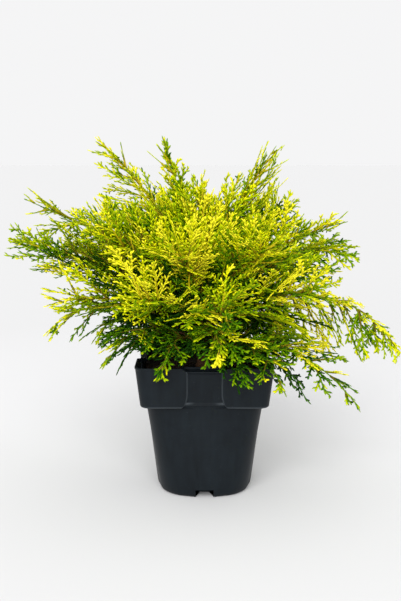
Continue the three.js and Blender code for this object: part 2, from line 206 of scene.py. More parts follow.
class Value:
    """A socket of a shader node. Arithmetic on it adds Math nodes to the same material."""

    def __init__(self, tree, socket=None):
        self.tree = tree
        self.socket = socket

    def node(self, kind, settings=None, inputs=None, output=0):
        """Adds a node, with its settings first and then the numbers or links of its sockets."""
        made = self.tree.nodes.new("ShaderNode" + kind)
        for name, setting in (settings or {}).items():
            if name == "stops":
                stops = made.color_ramp.elements
                stops.remove(stops[1])
                stops[0].position, stops[0].color = setting[0]
                for place, colour in setting[1:]:
                    stops.new(place).color = colour
            else:
                setattr(made, name, setting)
        for name, value in (inputs or {}).items():
            if isinstance(value, Value):
                self.tree.links.new(value.socket, made.inputs[name])
            else:
                made.inputs[name].default_value = value
        return Value(self.tree, made.outputs[output])

    def maths(self, operation, *values):
        return self.node("Math", {"operation": operation}, dict(enumerate(values)))

    def __add__(self, other):
        return self.maths("ADD", self, other)

    def __radd__(self, other):
        return self.maths("ADD", other, self)

    def __sub__(self, other):
        return self.maths("SUBTRACT", self, other)

    def __rsub__(self, other):
        return self.maths("SUBTRACT", other, self)

    def __mul__(self, other):
        return self.maths("MULTIPLY", self, other)

    def __rmul__(self, other):
        return self.maths("MULTIPLY", other, self)

    def noise(self, scale, detail=2.0, roughness=0.5):
        inputs = {"Vector": self, "Scale": scale, "Detail": detail, "Roughness": roughness}
        return self.node("TexNoise", None, inputs, "Fac")

    def stretched(self, x, y, z):
        return self.node("Mapping", None, {"Vector": self, "Scale": (x, y, z)})

    def between(self, low, high):
        """This value's span from low to high, as 0 to 1 and no further."""
        return self.node("MapRange", None, {"Value": self, "From Min": low, "From Max": high})

    def blend(self, first, second):
        return self.node("Mix", {"data_type": "RGBA"}, {0: self, 6: first, 7: second}, 2)


def paint(red, green, blue):
    """A colour given as it looks on a screen, from 0 to 255."""
    parts = [part / 255 for part in (red, green, blue)]
    linear = [p / 12.92 if p <= 0.04045 else ((p + 0.055) / 1.055) ** 2.4 for p in parts]
    return (*linear, 1.0)


def new_material(name, **sockets):
    """A material with constants on its shader. Gives it, its shader and its coordinates."""
    material = bpy.data.materials.new(name)
    material.use_nodes = True
    shader = material.node_tree.nodes["Principled BSDF"]
    for label, value in sockets.items():
        shader.inputs[label.replace("_", " ")].default_value = value
    place = Value(material.node_tree).node("TexCoord", output="Object")
    return material, shader, place


def feed(shader, **links):
    for label, value in links.items():
        shader.id_data.links.new(value.socket, shader.inputs[label.replace("_", " ")])


plastic, shader, place = new_material("anthracite_plastic", Specular_IOR_Level=0.14)
handling = place.noise(26, 4, 0.6)
streaks = place.stretched(1, 1, 0.12).noise(210, 3)
scuffs = place.stretched(0.5, 0.5, 1).noise(420, 5, 0.7).between(0.63, 0.78)
grain = place.noise(1900, 2)
dust = (handling * 0.6 + streaks * 0.4).between(0.36, 0.7)
# Painted highlight: a lighter colour along the shields' rounded edges and under the collar's lower
# edge, blended in with the real scuffs.
edge_highlight = place.node("Attribute", {"attribute_name": "worn_edge"}, None, "Fac")
base = dust.blend(paint(12, 17, 21), paint(20, 27, 32))
feed(
    shader,
    Base_Color=(scuffs * 0.3 + edge_highlight * 0.75).blend(base, paint(66, 72, 76)),
    Roughness=0.36 + handling * 0.14 + streaks * 0.08 + scuffs * 0.1,
    Normal=place.node(
        "Bump",
        None,
        {"Strength": 0.5, "Distance": 0.00012, "Height": grain * 0.35 + streaks * 0.5 + handling * 2},
        "Normal",
    ),
)

bm = bmesh.new()
skin(bm, levels)
pot = add_piece(bm, "nursery_pot", plastic)
# The painted highlight's strength at each corner: near the shields' edges and under the collar's lower
# edge.
worn_edge = pot.data.attributes.new("worn_edge", "FLOAT", "POINT")
for vert, edge_highlight in zip(pot.data.vertices, worn_edge.data):
    x, y, height = (1000 * part for part in vert.co)
    from_shield = abs(min(abs(x), abs(y)) - panel_at(height) - 0.5)
    under_the_edge = abs(height - collar_foot - (1 if min(abs(x), abs(y)) > panel_at(height) else 2.6))
    if collar_foot < height < 128.7 and max(abs(x), abs(y)) > collar_half(height) - panel_sunk - 0.6:
        edge_highlight.value = max(0.0, 1 - min(from_shield, under_the_edge) / 0.9)
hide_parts("pot")

# ---- The soil -------------------------------------------------------------------------------
# Damp compost of peat and composted bark, drawn a little away from the pot's wall. Its top lies
# 13 mm below the rim, with loose bark chips on it.
soil_top = 119.0
soil_gap = 1.9
chip_count = 380
chip_field = 51.5
bare_round_trunk = 9.0
soil_levels = [body_level(height, pot_wall + soil_gap) for height in (11.4, 46, 93)]
for height in (99, 108, 115.6, 117.4):
    half = collar_half(height) - pot_wall - soil_gap
    sunk = panel_sunk + (0 if height < 117 else 0.6)
    soil_levels.append(pot_outline(height, half, 11.2, 0, sunk, panel_at(height)))
edge = soil_levels[-1]
for share in (0.96, 0.88, 0.79, 0.7, 0.61, 0.52, 0.43, 0.34, 0.25, 0.16, 0.08):
    level = []
    for x, y, _ in edge:
        spot = Vector((x * share, y * share, 0))
        lump = 1.6 * noise.noise(spot * 0.16) + 1.1 * noise.noise(spot * 0.5)
        level.append((spot.x, spot.y, soil_top - 1.6 * share**3 + lump))
    soil_levels.append(level)
bm = bmesh.new()
skin(bm, soil_levels)
luck = np.random.default_rng(11)
for _ in range(chip_count):
    across = luck.uniform(-56, 56, 2)
    if max(abs(across)) > chip_field or np.hypot(*across) < bare_round_trunk:
        continue
    length = luck.uniform(1.6, 5.2)
    size = (length, length * luck.uniform(0.35, 0.8), length * luck.uniform(0.16, 0.4))
    turn = Matrix.Rotation(luck.uniform(0, 6.28), 4, "Z") @ Matrix.Rotation(luck.normal(0, 0.3), 4, "X")
    lift = soil_top - 0.9 + luck.uniform(0, 1.2)
    spot = Matrix.Translation((*across, lift)) @ turn @ Matrix.Diagonal((*size, 1))
    chip = bmesh.ops.create_icosphere(bm, subdivisions=1, radius=1.0, matrix=spot)["verts"]
    for vert in chip:
        vert.co += Vector(luck.normal(0, 0.12, 3)) * length

compost, shader, place = new_material("bark_compost", Specular_IOR_Level=0.25)
crumbs = place.noise(420, 5, 0.65)
patches = place.noise(70, 3)
tone = (crumbs * 0.7 + patches * 0.5).between(0.42, 0.78)
feed(
    shader,
    Base_Color=tone.blend(paint(18, 14, 12), paint(70, 52, 38)),
    Roughness=0.98 - patches * 0.25,
    Normal=place.node(
        "Bump", None, {"Strength": 0.9, "Distance": 0.0012, "Height": crumbs}, "Normal"
    ),
)
soil = add_piece(bm, "soil_top_and_bark_chips", compost, 50)
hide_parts("soil")

# ---- The trunk and its boughs ---------------------------------------------------------------
# One short stem of a nursery-grown plant, with thin fibrous red-brown bark that splits in long
# strips. Twenty-six boughs leave it in three tiers, and the crest grows on from its top.
trunk_foot = soil_top + 0.3
trunk_height = 95.0
trunk_thick = 6.6
trunk_thin = 2.8
root_flare = 4.2
# A limb leaves the trunk at its tier's start, and a climb higher for each limb before it. It is
# given by its compass bearing, its reach and the height of its tip, and some by their own arch.
# Bough is the share of it that is bare, and twig, spacing, roll, open and third are for sprays.
tiers = {
    "crest": {
        "start": 192, "climb": 5, "lift": 0.16, "arch": 8, "bough": 0.0,
        "twig": 22, "spacing": 21.5, "roll": 75, "open": 7,
        "limbs": [(265, 44, 297), (58, 72, 306), (2, 68, 333), (168, 108, 338, 24), (200, 42, 342)],
    },
    "shoulder": {
        "start": 171, "climb": 2.6, "lift": 0.14, "arch": 16, "bough": 0.27,
        "twig": 28, "spacing": 22.5, "roll": 60, "open": 8.5, "third": -0.4,
        "limbs": [
            (258, 114, 240), (303, 126, 250), (214, 130, 258), (345, 136, 264),
            (45, 142, 274), (112, 146, 280), (177, 174, 283, 4),
        ],
    },
    "spread": {
        "start": 148, "climb": 2.2, "lift": 0.16, "arch": 24, "bough": 0.25,
        "twig": 30, "spacing": 22.5, "roll": 74, "open": 11.5, "third": 0.1,
        "limbs": [
            (280, 122, 181), (205, 160, 190), (240, 136, 194), (318, 146, 200), (46, 160, 216),
            (90, 156, 218), (142, 170, 222), (14, 152, 240), (183, 186, 243, 12),
        ],
    },
    "skirt": {
        "start": 130, "climb": 1.75, "lift": 0.26, "arch": 48, "bough": 0.27,
        "twig": 24, "spacing": 21.5, "roll": 75, "open": 15,
        "limbs": [
            (338, 155, 92), (310, 113, 112), (243, 90, 126), (52, 134, 120), (115, 128, 126),
            (215, 114, 132), (152, 132, 132), (278, 98, 142), (186, 156, 153), (356, 190, 135, 84),
        ],
    },
}


def chance(*keys):
    """A number from 0 to 1 that is always the same for the same keys."""
    stirred = 0x2F6E2B1
    for key in keys:
        stirred = ((stirred ^ (key + 1)) * 0x9E3779B1) & 0xFFFFFFFF
        stirred ^= stirred >> 15
        stirred = (stirred * 0x85EBCA6B) & 0xFFFFFFFF
        stirred ^= stirred >> 13
    return stirred / 2**32


def trunk_place(height):
    """The trunk's middle at a height. It leans to the left and bows to the front."""
    share = (height - trunk_foot) / trunk_height
    return np.array((-7 * share**1.5, -3 * math.sin(math.pi * share), height))


def trunk_radius(height, angle):
    """The trunk's radius on one side, with a flare into five roots at its foot."""
    flare = root_flare * math.exp((trunk_foot - height) / 6) * (0.7 + 0.3 * math.cos(5 * angle))
    return mix(trunk_thick, trunk_thin, (height - trunk_foot) / trunk_height) + flare


def unit(vectors):
    return vectors / np.linalg.norm(vectors, axis=-1, keepdims=True)


class Limb:
    """One curve from the trunk to the furthest tip of a spray, measured by shares of its length."""

    def __init__(self, tier_index, name, index):
        tier = tiers[name]
        compass, self.reach, tip_height, *arch = tier["limbs"][index]
        self.keys = (tier_index, index)
        self.tier = tier
        self.tier_name = name
        self.label = f"{name}_{index + 1}"
        turn = math.radians(compass)
        self.outward = np.array((math.cos(turn), math.sin(turn), 0.0))
        across = np.array((-self.outward[1], self.outward[0], 0.0))
        start = trunk_place(tier["start"] + tier["climb"] * index)
        tip = self.outward * self.reach + np.array((0, 0, tip_height))
        sway = self.reach * 0.16 * (chance(tier_index, index, 1) - 0.5)
        first = mix(start, tip, 0.3) + across * sway
        second = mix(start, tip, 0.72) - across * sway
        first[2] += tier["lift"] * self.reach
        second[2] += arch[0] if arch else tier["arch"]
        self.ends = np.array((start, first, second, tip))
        self.steps = np.linspace(0, 1, 201)
        path = self.plain(self.steps)
        travel = np.linalg.norm(np.diff(path, axis=0), axis=1)
        self.travel = np.concatenate(([0], np.cumsum(travel)))
        self.length = self.travel[-1]
        self.line = self.at(np.linspace(0, 1, 25))

    def plain(self, t):
        """Points on the curve by its own measure, which isn't even."""
        t = np.asarray(t)[..., None]
        a, b, c, d = self.ends
        return a * (1 - t) ** 3 + 3 * b * t * (1 - t) ** 2 + 3 * c * t**2 * (1 - t) + d * t**3

    def step_at(self, along):
        return np.interp(np.asarray(along) * self.length, self.travel, self.steps)

    def at(self, along):
        return self.plain(self.step_at(along))

    def heading(self, along):
        t = self.step_at(along)
        return unit(self.plain(np.minimum(t + 1e-4, 1)) - self.plain(np.maximum(t - 1e-4, 0)))

    def radius(self, along):
        bough = self.tier["bough"]
        if along < bough:
            return mix(1.9, 1.4, along / bough)
        return mix(1.4, 0.9, (along - bough) / (1 - bough))


def turned(vector, axis, angle):
    """A vector turned about an axis, by radians."""
    sine, cosine = math.sin(angle), math.cos(angle)
    return vector * cosine + np.cross(axis, vector) * sine + axis * (axis @ vector) * (1 - cosine)


def axes_about(direction, tilt=0.0):
    """Two axes square to a direction, the first level and the second over it, turned by tilt."""
    side = np.cross(direction, (0, 0, 1))
    side = np.array((0.0, 1.0, 0.0)) if np.linalg.norm(side) < 0.05 else unit(side)
    side = turned(side, direction, tilt)
    return side, unit(np.cross(side, direction))


limbs = []
for tier_index, name in enumerate(tiers):
    for index in range(len(tiers[name]["limbs"])):
        limbs.append(Limb(tier_index, name, index))

trunk_levels = []
for step in range(37):
    height = trunk_foot + trunk_height * (step / 36) ** 1.2
    centre = trunk_place(height)
    level = []
    for corner in range(28):
        angle = math.tau * corner / 28
        outward = Vector((math.cos(angle), math.sin(angle), 0))
        strips = noise.noise(Vector((outward.x * 2.6, outward.y * 2.6, height * 0.03)))
        fibres = noise.noise(Vector((outward.x * 7, outward.y * 7, height * 0.11)))
        radius = trunk_radius(height, angle) * (1 + 0.09 * strips + 0.05 * fibres)
        level.append(Vector(centre) + outward * radius)
    trunk_levels.append(level)
bm = bmesh.new()
skin(bm, trunk_levels)
for limb in limbs:
    bough = limb.tier["bough"]
    if not bough:
        continue
    rows = []
    for step in range(19):
        along = bough * step / 18
        middle = limb.at(along)
        side, over = axes_about(limb.heading(along))
        swell = 1 + 0.7 * math.exp(-along * limb.length / 5)
        row = []
        for corner in range(10):
            angle = math.tau * corner / 10
            outward = over * math.cos(angle) + side * math.sin(angle)
            ridge = noise.noise(Vector(middle * 0.16) + Vector(outward) * 1.7)
            row.append(middle + outward * limb.radius(along) * swell * (1 + 0.16 * ridge))
        rows.append(row)
    skin(bm, rows)

bark, shader, place = new_material("fibrous_bark", Specular_IOR_Level=0.3)
strips = place.stretched(1, 1, 0.16).noise(560, 5, 0.62)
flakes = place.stretched(1, 1, 0.3).noise(150, 4)
tone = (strips * 0.75 + flakes * 0.4).between(0.38, 0.78)
feed(
    shader,
    Base_Color=tone.blend(paint(50, 33, 23), paint(132, 92, 62)),
    Roughness=0.95 - flakes * 0.25,
    Normal=place.node(
        "Bump", None, {"Strength": 0.9, "Distance": 0.0007, "Height": strips}, "Normal"
    ),
)
wood = add_piece(bm, "bark_of_trunk_and_boughs", bark, 60)
bare = [f"bough_{limb.label}" for limb in limbs if limb.tier["bough"]]
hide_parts("trunk", *bare)

# ---- The sprays' axes -----------------------------------------------------------------------
# Each limb carries flat sprays. They leave it by the same rule as the solid's twigs, with finer
# ones between them, and each is as long as the space of its own mass lets it be: nearer its own
# limb than any other, and clear of trunk, boughs and pot.
blade_length = 44.0
first_twig = 7.0
finest_step = 3.0
lent_at_trunk = 23.0
lent_at_tip = 9.0
first_fine = 200
golden_angle = 137.5
crown_top = 343.0
crown_front = -123.0
dome_top = 299.0
dome_middle = -15.0
dome_radius = 140.0
dome_fall = 42.0
arm_start = 105.0
lines = np.array([limb.line for limb in limbs])
outwards = np.array([limb.outward for limb in limbs])
reaches = np.array([limb.reach for limb in limbs])
heights = [trunk_foot + trunk_height * share for share in (0, 0.25, 0.5, 0.75, 1)]
trunk_line = np.array([trunk_place(height) for height in heights])


def distances(points, paths):
    """From each point to each of these paths, whose points are equally many."""
    start = paths[:, :-1]
    run = paths[:, 1:] - start
    least = []
    for part in np.array_split(points, max(1, len(points) // 400)):
        gap = part[:, None, None] - start
        share = np.clip((gap * run).sum(-1) / (run * run).sum(-1), 0, 1)
        least.append(np.linalg.norm(gap - share[..., None] * run, axis=-1).min(-1))
    return np.concatenate(least)


def in_open_air(points, margin):
    """True where points lie clear of the pot, and under the top and behind the front of the crown."""
    over = np.abs(points[..., :2]).max(-1) < rim_half + margin + 1
    outside = ~(over & (points[..., 2] < pot_height + margin + 1))
    return outside & (points[..., 2] < crown_top) & (points[..., 1] > crown_front)


def in_own_space(points, owners, margin, lent):
    """True where points lie nearer their own limb than any other, save for a lent distance, and
    clear of trunk and pot. The crest's sprays may reach a little further out than its limbs."""
    free = in_open_air(points, margin)
    spare = np.where(owners < len(tiers["crest"]["limbs"]), 20, 0)
    free &= (points * outwards[owners]).sum(-1) < reaches[owners] + spare
    up = np.clip((points[:, 2] - trunk_foot) / trunk_height, 0, 1)
    thick = mix(trunk_thick, trunk_thin, up)
    free &= distances(points, trunk_line[None])[:, 0] > thick + margin + 1
    gaps = distances(points, lines)
    order = np.arange(len(points))
    own = gaps[order, owners]
    gaps[order, owners] = np.inf
    return free & (gaps.min(-1) > own + 2 * margin - lent)


def under_the_dome(points, roots, owners, spikes):
    """True where points lie under the crown's domed top, which some sprays stand out of, or just
    over the limb that bears them, and hardly lower than that limb does. On the long arm at the
    right they rise less over their limb."""
    from_middle = np.hypot(points[:, 0] - dome_middle, points[:, 1])
    dome = dome_top - dome_fall * (from_middle / dome_radius) ** 2 + spikes
    inward = np.clip((arm_start - points[:, 0]) / 25, 0.2, 1)
    over_root = roots[:, 2] + freedom[owners] * inward + spikes
    return (points[:, 2] < np.maximum(dome, over_root)) & (points[:, 2] > lowest[owners])


# What sets tiers and single limbs apart. Slender is the share of its length that a spray has at
# the limb's tip, and a high taper keeps the others long. Lean turns the fine sprays up, or down
# where it is negative, and below -1 it turns every spray. Drift turns the same ones outwards.
# Curl bends all sprays up along their length, and freedom is how far they may rise over their
# roots. Gold makes them more golden towards the limb's tip, and a sunlit limb has no dark ones.
plain_habit = {
    "slender": 0.36, "taper": 1.3, "drift": 0.0, "freedom": 9.0, "gold": 0.0, "sunlit": False,
}
tier_habits = {
    "crest": {"lean": 0.35, "curl": 0.004, "freedom": 20.0},
    "shoulder": {"lean": 0.5, "curl": 0.003},
    "spread": {"lean": 0.38, "curl": -0.001},
    "skirt": {"lean": 0.0, "curl": -0.007},
}
limb_habits = {
    "crest_1": {"gold": -0.1},
    "crest_2": {"slender": 0.15, "taper": 0.7},
    "crest_3": {
        "slender": 0.2, "lean": 0.0, "drift": 1.1, "curl": 0.018, "freedom": 60.0, "gold": -0.22,
    },
    "crest_4": {"slender": 0.25, "lean": -0.1, "drift": 0.5, "gold": -0.14},
    "crest_5": {"slender": 0.25, "lean": 0.2, "drift": 0.5, "gold": -0.3},
    "shoulder_3": {"lean": 1.2, "freedom": 52.0},
    "shoulder_4": {"slender": 0.65, "lean": 1.6, "freedom": 48.0, "gold": -0.1},
    "shoulder_5": {"lean": 1.6, "freedom": 48.0},
    "shoulder_7": {"slender": 0.2, "lean": -0.15, "freedom": 20.0, "gold": -0.05},
    "spread_1": {"lean": 0.8, "gold": -0.15},
    "spread_2": {"slender": 0.18, "lean": 0.7, "gold": 0.28},
    "spread_3": {"lean": 0.9, "gold": 0.28},
    "spread_4": {"slender": 0.5, "gold": -0.15},
    "spread_5": {"slender": 0.5, "lean": 0.0},
    "spread_8": {"slender": 0.9, "lean": -0.3, "gold": -0.15},
    "spread_9": {"slender": 0.6, "lean": 0.35, "freedom": 24.0, "gold": -0.28},
    "skirt_1": {"slender": 0.12, "taper": 0.5, "lean": 0.1},
    "skirt_2": {"slender": 0.13, "taper": 0.7, "gold": -0.08},
    "skirt_3": {"slender": 0.2},
    "skirt_6": {"slender": 0.12, "taper": 0.7},
    "skirt_7": {"slender": 0.13, "taper": 0.7},
    "skirt_8": {"slender": 0.3, "gold": 0.3},
    "skirt_9": {"slender": 0.1, "taper": 0.7, "lean": -0.1, "gold": 0.38},
    "skirt_10": {"slender": 0.2, "taper": 2.5, "lean": -1.6, "gold": 0.25, "sunlit": True},
}
for limb in limbs:
    own = limb_habits.get(limb.label, {})
    limb.habit = {**plain_habit, **tier_habits[limb.tier_name], **own}
freedom = np.array([limb.habit["freedom"] for limb in limbs])
lowest = np.array([limb.line[:, 2].min() - 8 for limb in limbs])


def lean_of(limb, number, share, drawn):
    """How far a spray turns up, or down below 0. Where a limb's sprays rise, every third one
    leans as its tier says, and where they rise steeply they do so less towards the tip."""
    lean = limb.habit["lean"] * (0.5 + drawn)
    if limb.habit["lean"] >= 0.4 and number % 3 == 0:
        lean = limb.tier["third"]
    if limb.habit["lean"] > 1:
        lean *= max(0.2, 1 - 1.1 * share)
    return lean


def grow_spray(limb, number, along):
    """Root, heading, plane, length and share of the stem of one spray, by the twigs' own rule.
    The fine sprays between the solid's twigs are numbered from first_fine on and leave all
    round the limb."""

    def draw(what):
        return chance(*limb.keys, number, what)

    fine = number >= first_fine
    hangs = limb.habit["lean"] < -1
    bough = limb.tier["bough"]
    share = (along - bough) / (1 - bough)
    forward = limb.heading(along)
    side, over = axes_about(forward)
    twig = limb.tier["twig"] * (1.12 - 0.6 * share) * (0.8 + 0.4 * draw(3))
    size = (0.82 + 0.36 * draw(4)) * mix(1, 0.75, share)
    length = twig + blade_length * size
    length *= mix(1.15, limb.habit["slender"], max(share, 0) ** limb.habit["taper"])
    if fine:
        roll = math.radians(golden_angle * number + 40 * draw(1))
    else:
        # Twigs leave left and right by turns, and every third one nearer the top.
        spread = 0.4 if number % 3 == 2 else 1
        roll = math.radians(limb.tier["roll"] * spread + 24 * (draw(1) - 0.5))
        roll *= 1 if number % 2 else -1
    angle = math.radians(40 - 10 * max(share, 0) + 14 * (draw(2) - 0.5))
    heading = forward * math.cos(angle)
    heading = heading + side * math.sin(angle) * math.sin(roll)
    heading = heading + over * math.sin(angle) * math.cos(roll)
    if fine or hangs:
        up = np.array((0, 0, lean_of(limb, number, share, draw(6))))
        heading = unit(heading + limb.outward * limb.habit["drift"] + up)
    plane = axes_about(heading, math.radians(100 * (draw(5) - 0.5)))[1]
    return limb.at(along), heading, plane, length, share


def grow_stem_spray(limb, number, along):
    """A shorter spray that leaves the stem opposite a twig."""

    def draw(what):
        return chance(*limb.keys, number, what)

    bough = limb.tier["bough"]
    share = (along - bough) / (1 - bough)
    forward = limb.heading(along)
    hand = -1 if number % 2 else 1
    heading = forward * 0.7 + axes_about(forward)[0] * 0.7 * hand
    heading = unit(heading + np.array((0, 0, 0.5 * (draw(30) - 0.4))))
    plane = axes_about(heading, math.radians(100 * (draw(31) - 0.5)))[1]
    length = blade_length * (0.75 + 0.3 * draw(32)) * (1.1 - 0.6 * share)
    return limb.at(along), heading, plane, length, share


def openness(slender):
    """How much further apart the fine sprays of a slender limb stand."""
    if slender < 0.14:
        return 2.6
    return 1.9 if slender < 0.3 else 1


sprays = []
owners = []
lent = []
for owner, limb in enumerate(limbs):
    bough = limb.tier["bough"]
    stem_end = 1 - 0.6 * blade_length / limb.length
    stem_length = limb.length * (stem_end - bough)
    bearing_length = stem_length - first_twig
    count = round(bearing_length / limb.tier["spacing"])
    for number in range(count):
        travel = first_twig + bearing_length * (number + 0.4) / count
        along = bough + travel / limb.length
        sprays.append(grow_spray(limb, number, along))
        sprays.append(grow_stem_spray(limb, number, along + 1.4 / limb.length))
        owners += [owner, owner]
        lent += [0, 0]
    widest_step = limb.tier["open"] * openness(limb.habit["slender"])
    along = 0.35 * bough if bough else 0.06
    number = first_fine
    while along < 0.96:
        sprays.append(grow_spray(limb, number, along))
        owners.append(owner)
        lent.append(mix(lent_at_trunk, lent_at_tip, along))
        number += 1
        along += mix(finest_step, widest_step, along**1.5) / limb.length
owners = np.array(owners)
lent = np.array(lent)
roots, headings, planes, lengths, shares = (
    np.array([spray[part] for spray in sprays]) for part in range(5)
)
luck = np.random.default_rng(23)
curls = np.array([limb.habit["curl"] for limb in limbs])[owners]
curls = curls + luck.normal(0, 0.004, len(sprays))
bends = luck.normal(0, 0.0025, roots.shape)
bends[:, 2] += curls


def along_thread(root, heading, bend, distance):
    """Points at distances along bent threads."""
    distance = np.asarray(distance)[..., None]
    return root + heading * distance + bend * distance**2 / 2


# One spray in eight stands further out of the dome. Each takes the longest of six shares of its
# full length that fits, and one that fits at none of them is left out.
spikes = np.where(luck.random(len(sprays)) < 0.12, 14, 0)
grown = np.zeros(len(sprays))
for share in (1.25, 1, 0.8, 0.62, 0.45, 0.3):
    fits = np.ones(len(sprays), bool)
    for part in (0.35, 0.6, 0.8, 1):
        points = along_thread(roots, headings, bends, lengths * share * part)
        fits &= in_own_space(points, owners, 0.8, lent)
        fits &= under_the_dome(points, roots, owners, spikes)
    grown = np.where((grown == 0) & fits, share, grown)
kept = grown > 0
lengths = (lengths * grown)[kept]
roots, headings, planes, bends = roots[kept], headings[kept], planes[kept], bends[kept]
owners, shares = owners[kept], shares[kept]

# ---- The twigs ------------------------------------------------------------------------------
# The stems inside the foliage masses, which run from the boughs to the tips of the limbs, and
# the woody feet of the sprays: thin shoots with smooth bark, ochre in the light and brown below,
# where the brown is partly older wood and partly painted shade.


def array_mesh(name, corners, faces, tones, materials):
    """One mesh of many like closed parts. Corners are by part, and faces serve every part."""
    parts, size = corners.shape[:2]
    loops = (faces[None] + size * np.arange(parts)[:, None, None]).ravel()
    mesh = bpy.data.meshes.new(name)
    mesh.vertices.add(parts * size)
    mesh.vertices.foreach_set("co", (corners * 0.001).astype(np.float32).ravel())
    mesh.loops.add(len(loops))
    mesh.loops.foreach_set("vertex_index", loops.astype(np.int32))
    mesh.polygons.add(len(loops) // 3)
    mesh.polygons.foreach_set("loop_start", np.arange(0, len(loops), 3, dtype=np.int32))
    mesh.polygons.foreach_set("material_index", np.repeat(tones, len(faces)).astype(np.int32))
    for material in materials:
        mesh.materials.append(material)
    mesh.update(calc_edges=True)
    mesh.validate()
    piece = bpy.data.objects.new(name, mesh)
    bpy.context.scene.collection.objects.link(piece)
    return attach(piece, "root")


def rod_faces(sides, rings):
    """The triangles of a closed rod: its skin, then its two ends."""
    faces = []
    for ring in range(rings - 1):
        for corner in range(sides):
            a, b = ring * sides + corner, ring * sides + (corner + 1) % sides
            faces += [(a, b, b + sides), (a, b + sides, a + sides)]
    last = (rings - 1) * sides
    for corner in range(1, sides - 1):
        faces += [(0, corner + 1, corner), (last, last + corner, last + corner + 1)]
    return np.array(faces)


def rods(root, heading, bend, plane, marks, radii, sides):
    """The corners of bent tapering rods, ring by ring, with a radius at each mark along them."""
    rings = []
    for distance, radius in zip(marks, radii):
        middle = along_thread(root, heading, bend, distance)
        way = unit(heading + bend * distance[:, None])
        side = unit(np.cross(plane, way))
        over = np.cross(way, side)
        for corner in range(sides):
            angle = math.tau * corner / sides
            out = side * math.cos(angle) + over * math.sin(angle)
            rings.append(middle + out * radius[:, None])
    return np.stack(rings, axis=1)


young_bark = []
for name, dark, light in [
    ("ochre_shoot_bark", paint(168, 148, 4), paint(208, 186, 8)),
    ("brown_shoot_bark", paint(88, 76, 8), paint(132, 112, 14)),
]:
    material, shader, place = new_material(name, Specular_IOR_Level=0.25)
    mottle = place.noise(900, 3)
    feed(
        shader,
        Base_Color=mottle.between(0.35, 0.7).blend(dark, light),
        Roughness=0.9 - mottle * 0.3,
    )
    young_bark.append(material)

bm = bmesh.new()
for limb in limbs:
    rings = []
    for along in np.linspace(max(limb.tier["bough"], 0.02), 0.99, 20):
        middle = limb.at(along)
        side, over = axes_about(limb.heading(along))
        radius = limb.radius(along) * mix(0.85, 0.35, along)
        angles = [math.tau * corner / 6 for corner in range(6)]
        rings.append([middle + (over * math.cos(a) + side * math.sin(a)) * radius for a in angles])
    skin(bm, rings)
stems = add_piece(bm, "stems_of_the_crown", young_bark[1], 60)
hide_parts(*(f"foliage_{limb.label}" for limb in limbs))

marks = [lengths * part for part in (0, 0.18, 0.38, 0.6)]
radii = [np.full(len(lengths), radius) for radius in (1.05, 1.0, 0.85, 0.3)]
corners = rods(roots, headings, bends, planes, marks, radii, 4)
# More shoots are brown lower down: older wood, and painted shade where the crown above shades them.
brown_and_shade_share = {"crest": 0.1, "shoulder": 0.25, "spread": 0.6, "skirt": 1}
brown_and_shade_shares = np.array([brown_and_shade_share[limb.tier_name] for limb in limbs])
brown_and_shaded = (luck.random(len(lengths)) < brown_and_shade_shares[owners]).astype(int)
twigs = array_mesh("twigs_of_the_sprays", corners, rod_faces(4, 4), brown_and_shaded, young_bark)
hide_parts(*(f"foliage_{limb.label}" for limb in limbs))

# ---- The foliage ----------------------------------------------------------------------------
# Fern-like sprays of blunt scale leaves: an axis, side shoots in two rows and short twiglets on
# them, each clothed in overlapping leaves. New growth is golden, older and shaded growth green.


class Threads:
    """A table of leafy threads: where each starts, how it runs and bends, its plane and size."""

    def __init__(self, root, heading, bend, plane, length, half_width, tone, owner):
        self.root = root
        self.heading = heading
        self.bend = bend
        self.plane = plane
        self.length = length
        self.half_width = half_width
        self.tone = tone
        self.owner = owner

    def only(self, chosen):
        return Threads(*(part[chosen] for part in vars(self).values()))

    def with_others(self, *others):
        tables = [vars(table).values() for table in (self, *others)]
        return Threads(*(np.concatenate(parts) for parts in zip(*tables)))

    def frame_at(self, index, distance):
        """Place, heading, side and plane at distances along the threads of these numbers."""
        bend = self.bend[index]
        place = along_thread(self.root[index], self.heading[index], bend, distance)
        heading = unit(self.heading[index] + bend * distance[:, None])
        side = unit(np.cross(self.plane[index], heading))
        return place, heading, side, np.cross(heading, side)


def numbered(counts):
    """For so many places on each thread: the thread's number and the place's number on it."""
    index = np.repeat(np.arange(len(counts)), counts)
    return index, np.arange(len(index)) - np.repeat(np.cumsum(counts) - counts, counts)


def side_shoots(parent, first, pitch, size, angle, thinner, brighter):
    """Shoots in two rows along the parents. Size gives a shoot's length by parent and place."""
    counts = np.floor((parent.length - 1.5 - first) / pitch).astype(int) + 1
    index, order = numbered(np.maximum(counts, 0))
    distance = first + order * pitch + luck.uniform(-0.35, 0.35, len(index))
    place, heading, side, plane = parent.frame_at(index, distance)
    hand = np.where((order + index) % 2, 1.0, -1.0)[:, None]
    share = distance / parent.length[index]
    fan = angle * fans[parent.owner[index]]
    turn = np.radians(fan - 6 * share + luck.normal(0, 3, len(index)))[:, None]
    way = heading * np.cos(turn) + side * hand * np.sin(turn)
    way = unit(way + plane * luck.normal(0, 0.06, len(index))[:, None])
    length = size(parent.length[index], distance) * luck.uniform(0.7, 1.2, len(index))
    bend = heading * 0.012 + parent.bend[index]
    roll = luck.normal(0, 0.14, len(index))[:, None]
    plane = unit(plane + side * hand * roll)
    tone = parent.tone[index] + brighter * (share - 0.4) + luck.normal(0, 0.12, len(index))
    widths = parent.half_width[index] * thinner
    return Threads(place, way, bend, plane, length, widths, tone, parent.owner[index])


def shoot_length(parent_length, distance):
    share = distance / parent_length
    return 5 + 0.55 * parent_length * np.minimum(1, 0.6 + 2 * share) * (1 - share)


def twiglet_length(parent_length, distance):
    return 2.6 + np.minimum(0.25 * (parent_length - distance), 2.6)


